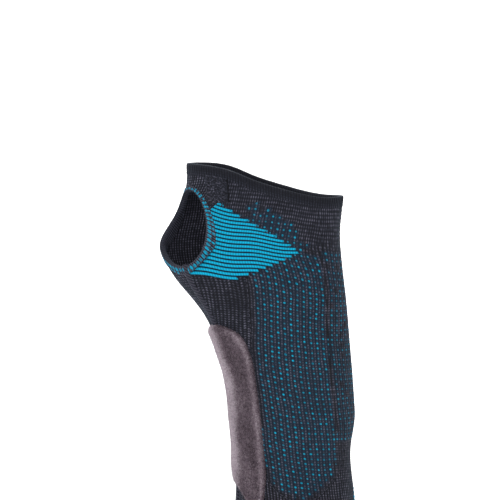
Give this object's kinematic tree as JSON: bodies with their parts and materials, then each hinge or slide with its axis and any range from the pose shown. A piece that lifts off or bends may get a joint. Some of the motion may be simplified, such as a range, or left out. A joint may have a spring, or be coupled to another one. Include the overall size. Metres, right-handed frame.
{
  "type": "wrist splint",
  "caption": "Knitted compression wrist splint for the left hand: tapering sleeve with a thumb opening, a velour-covered thumb-side stay and removable palm and little-finger stays.",
  "frame": {"origin": "Bottom centre of the bounding box; the splint stands on the hem of its forearm end.", "axes": "+Z runs along the forearm to the fingers, -Y is the palm side, +Y the back of the hand, -X the thumb side, +X the little-finger side."},
  "size_m": [0.0994, 0.0571, 0.2018],
  "materials": {
    "palm_knit": "anthracite compression knit with teal dots and a teal striped zone, woven look",
    "back_knit": "anthracite fine flat knit",
    "rib_knit": "dark ribbed knit edging",
    "seam_knit": "flat overlock seam in dark yarn",
    "stitching": "sewing thread",
    "lining_knit": "soft terry lining",
    "velour": "brushed grey-mauve velour",
    "stay_aluminium": "satin anodised aluminium",
    "spring_steel": "flat coiled spring steel",
    "cap_plastic": "dipped plastic ends",
    "grip_silicone": "translucent silicone dots",
    "label_tape": "blank satin label tape"
  },
  "bodies": {
    "sleeve": {"palmar_panel": "palm_knit", "dorsal_panel": "back_knit", "distal_welt": "rib_knit", "forearm_hem": "rib_knit", "thumb_edge_band": "rib_knit", "radial_seam": "seam_knit", "ulnar_seam": "seam_knit", "web_seam_overlap": "seam_knit", "pocket_stitch_line": "stitching", "palmar_pocket_lining": "lining_knit", "ulnar_stay_channel": "lining_knit", "velour_stay_cover": "velour", "radial_stay": "spring_steel", "radial_stay_cap_lower": "cap_plastic", "radial_stay_cap_upper": "cap_plastic", "silicone_grip": "grip_silicone", "care_label": "label_tape"},
    "palm_stay_insert": {"palmar_stay": "stay_aluminium", "palmar_stay_cap_lower": "cap_plastic", "palmar_stay_cap_upper": "cap_plastic"},
    "little_finger_stay_insert": {"ulnar_stay": "spring_steel", "ulnar_stay_cap_lower": "cap_plastic", "ulnar_stay_cap_upper": "cap_plastic"}
  },
  "joints": [
    {"name": "palm_stay_draw", "type": "hinge", "parent": "sleeve", "child": "palm_stay_insert", "pos_m": [0.0096, 0.71465, 0.03], "axis": [1, 0, 0], "range_deg": [0, 13]},
    {"name": "little_finger_stay_draw", "type": "slide", "parent": "sleeve", "child": "little_finger_stay_insert", "axis": [0, 0.0598, 0.9982], "range_m": [0, 0.128]}
  ]
}
